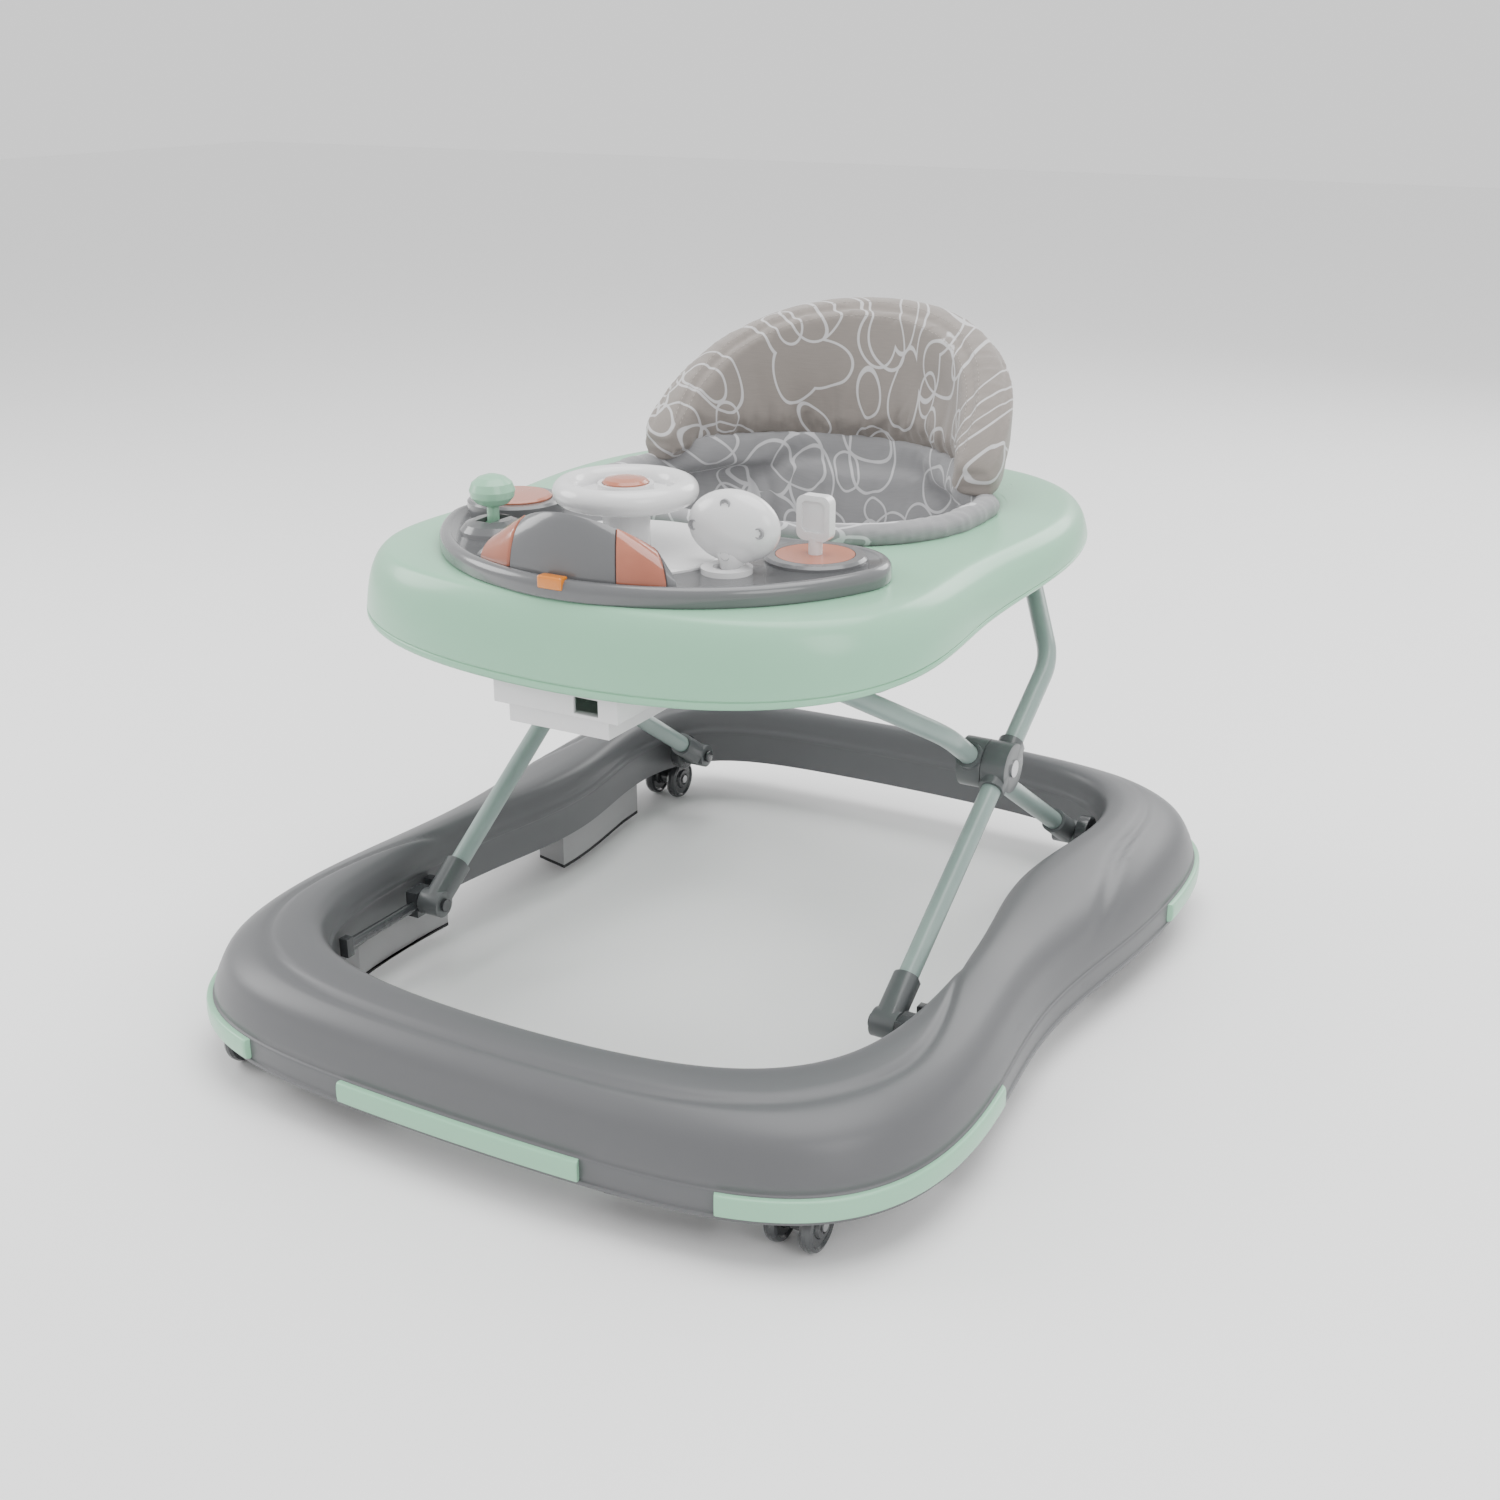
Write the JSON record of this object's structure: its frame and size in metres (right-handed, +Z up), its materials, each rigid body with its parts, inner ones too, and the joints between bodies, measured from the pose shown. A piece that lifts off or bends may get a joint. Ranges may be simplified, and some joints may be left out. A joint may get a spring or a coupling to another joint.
{
  "type": "baby walker",
  "caption": "Folding baby walker: ring base on twin-wheel swivel casters, crossed tube legs, and a play tray with steering wheel, toys and a padded seat with backrest.",
  "frame": {"origin": "on the floor under the middle of the base ring", "axes": "+X to the seated child's left, -Y to the front where the toys are, +Z up"},
  "size_m": [0.6434, 0.765, 0.53],
  "materials": {
    "mint_plastic": "satin injection-moulded mint plastic",
    "base_grey": "satin mid-grey moulded plastic",
    "panel_grey": "glossy grey moulded plastic",
    "dark_plastic": "dark grey nylon",
    "holder_grey": "light grey moulded plastic",
    "clamp_grey": "mid-grey glass-filled nylon",
    "rubber": "matt dark rubber",
    "tube_paint": "satin grey-green powder coat on steel tube",
    "steel": "zinc-plated steel",
    "white_plastic": "glossy white moulded plastic",
    "peach_plastic": "glossy peach plastic",
    "orange_lens": "translucent orange plastic",
    "hood_fabric": "padded taupe polyester print with white looping lines",
    "liner_fabric": "grey polyester print with white looping lines",
    "board": "stiff board inside the backrest",
    "mirror": "aluminised acrylic play mirror"
  },
  "bodies": {
    "base": {"base_shell": "base_grey", "bumper_front_left": "mint_plastic", "bumper_front_middle": "mint_plastic", "bumper_front_right": "mint_plastic", "bumper_rear_left": "mint_plastic", "bumper_rear_right": "mint_plastic", "brake_pad_holders": "holder_grey", "brake_pad_rubbers": "rubber", "caster_sockets": "dark_plastic", "slide_rails": "dark_plastic", "rear_leg_brackets": "dark_plastic", "base_screws": "steel"},
    "swivel_front_left": {"caster_fork_front_left": "dark_plastic"},
    "wheels_front_left": {"caster_wheels_front_left": "dark_plastic", "caster_axle_front_left": "steel"},
    "swivel_front_right": {"caster_fork_front_right": "dark_plastic"},
    "wheels_front_right": {"caster_wheels_front_right": "dark_plastic", "caster_axle_front_right": "steel"},
    "swivel_rear_left": {"caster_fork_rear_left": "dark_plastic"},
    "wheels_rear_left": {"caster_wheels_rear_left": "dark_plastic", "caster_axle_rear_left": "steel"},
    "swivel_rear_right": {"caster_fork_rear_right": "dark_plastic"},
    "wheels_rear_right": {"caster_wheels_rear_right": "dark_plastic", "caster_axle_rear_right": "steel"},
    "inner_legs": {"inner_leg_frame": "tube_paint", "clamps_inner": "clamp_grey", "rear_foot_caps": "clamp_grey"},
    "outer_legs": {"outer_leg_frame": "tube_paint", "clamps_outer": "clamp_grey", "cross_pivot_pins": "steel", "front_foot_caps": "clamp_grey"},
    "sliders": {"rail_sliders": "dark_plastic"},
    "tray": {"tray_shell": "mint_plastic", "height_adjuster": "white_plastic", "rear_tube_brackets": "clamp_grey", "tray_screws": "steel", "seat_liner": "liner_fabric", "backrest_board": "board", "backrest_cover": "hood_fabric", "toy_panel": "panel_grey", "dash_cowl": "panel_grey", "cowl_lamps": "peach_plastic", "indicator_lens": "orange_lens", "dash_plate": "white_plastic", "steering_column": "white_plastic", "gear_socket": "panel_grey", "mirror_stand": "white_plastic", "button_pod": "panel_grey", "key_pod": "panel_grey", "key_pod_disc": "peach_plastic"},
    "latch": {"adjuster_latch": "white_plastic"},
    "steering": {"steering_wheel": "white_plastic"},
    "horn": {"horn_button": "peach_plastic"},
    "gear": {"gear_lever": "mint_plastic"},
    "mirror": {"mirror_shell": "white_plastic", "mirror_glass": "mirror", "mirror_screws": "steel"},
    "pod_button": {"pod_button": "peach_plastic"},
    "key": {"play_key": "white_plastic"}
  },
  "joints": [
    {"name": "swivel_front_left", "type": "hinge", "parent": "base", "child": "swivel_front_left", "pos_m": [0.237, -0.312, 0.06], "axis": [0, 0, 1], "continuous": true},
    {"name": "roll_front_left", "type": "hinge", "parent": "swivel_front_left", "child": "wheels_front_left", "pos_m": [0.237, -0.321, 0.02], "axis": [1, 0, 0], "continuous": true},
    {"name": "swivel_front_right", "type": "hinge", "parent": "base", "child": "swivel_front_right", "pos_m": [-0.237, -0.312, 0.06], "axis": [0, 0, 1], "continuous": true},
    {"name": "roll_front_right", "type": "hinge", "parent": "swivel_front_right", "child": "wheels_front_right", "pos_m": [-0.237, -0.321, 0.02], "axis": [1, 0, 0], "continuous": true},
    {"name": "swivel_rear_left", "type": "hinge", "parent": "base", "child": "swivel_rear_left", "pos_m": [0.252, 0.312, 0.06], "axis": [0, 0, 1], "continuous": true},
    {"name": "roll_rear_left", "type": "hinge", "parent": "swivel_rear_left", "child": "wheels_rear_left", "pos_m": [0.252, 0.303, 0.02], "axis": [1, 0, 0], "continuous": true},
    {"name": "swivel_rear_right", "type": "hinge", "parent": "base", "child": "swivel_rear_right", "pos_m": [-0.252, 0.312, 0.06], "axis": [0, 0, 1], "continuous": true},
    {"name": "roll_rear_right", "type": "hinge", "parent": "swivel_rear_right", "child": "wheels_rear_right", "pos_m": [-0.252, 0.303, 0.02], "axis": [1, 0, 0], "continuous": true},
    {"name": "fold", "type": "hinge", "parent": "base", "child": "inner_legs", "pos_m": [0, 0.269, 0.066], "axis": [1, 0, 0], "range_deg": [0, 23.5]},
    {"name": "cross_pivot", "type": "hinge", "parent": "inner_legs", "child": "outer_legs", "pos_m": [0, 0.067, 0.2], "axis": [1, 0, 0], "range_deg": [-47, 0]},
    {"name": "tray_level", "type": "hinge", "parent": "outer_legs", "child": "tray", "pos_m": [0, 0.269, 0.334], "axis": [1, 0, 0], "range_deg": [0, 23.5]},
    {"name": "slider_level", "type": "hinge", "parent": "outer_legs", "child": "sliders", "pos_m": [0, -0.135, 0.066], "axis": [1, 0, 0], "range_deg": [0, 23.5]},
    {"name": "latch_squeeze", "type": "hinge", "parent": "tray", "child": "latch", "pos_m": [0, -0.098, 0.301], "axis": [1, 0, 0], "range_deg": [0, 14], "stiffness_Nm_per_rad": 0.15},
    {"name": "steering_turn", "type": "hinge", "parent": "tray", "child": "steering", "pos_m": [0, -0.148, 0.44], "axis": [0, 0, 1], "range_deg": [-90, 90]},
    {"name": "horn_press", "type": "slide", "parent": "steering", "child": "horn", "axis": [0, 0, -1], "range_m": [0, 0.0025], "stiffness_N_per_m": 400},
    {"name": "gear_shift", "type": "hinge", "parent": "tray", "child": "gear", "pos_m": [-0.112, -0.156, 0.405], "axis": [1, 0, 0], "range_deg": [-15, 15]},
    {"name": "mirror_swivel", "type": "hinge", "parent": "tray", "child": "mirror", "pos_m": [0.093, -0.166, 0.405], "axis": [0, 0, 1], "range_deg": [-45, 45]},
    {"name": "pod_press", "type": "slide", "parent": "tray", "child": "pod_button", "axis": [0, 0, -1], "range_m": [0, 0.0025], "stiffness_N_per_m": 400},
    {"name": "key_turn", "type": "hinge", "parent": "tray", "child": "key", "pos_m": [0.13, -0.106, 0.41], "axis": [0, 0, 1], "range_deg": [-45, 45]}
  ],
  "couplings": [
    {"joint": "cross_pivot", "follows": "fold", "ratio": -2},
    {"joint": "tray_level", "follows": "fold", "ratio": 1},
    {"joint": "slider_level", "follows": "fold", "ratio": 1}
  ]
}
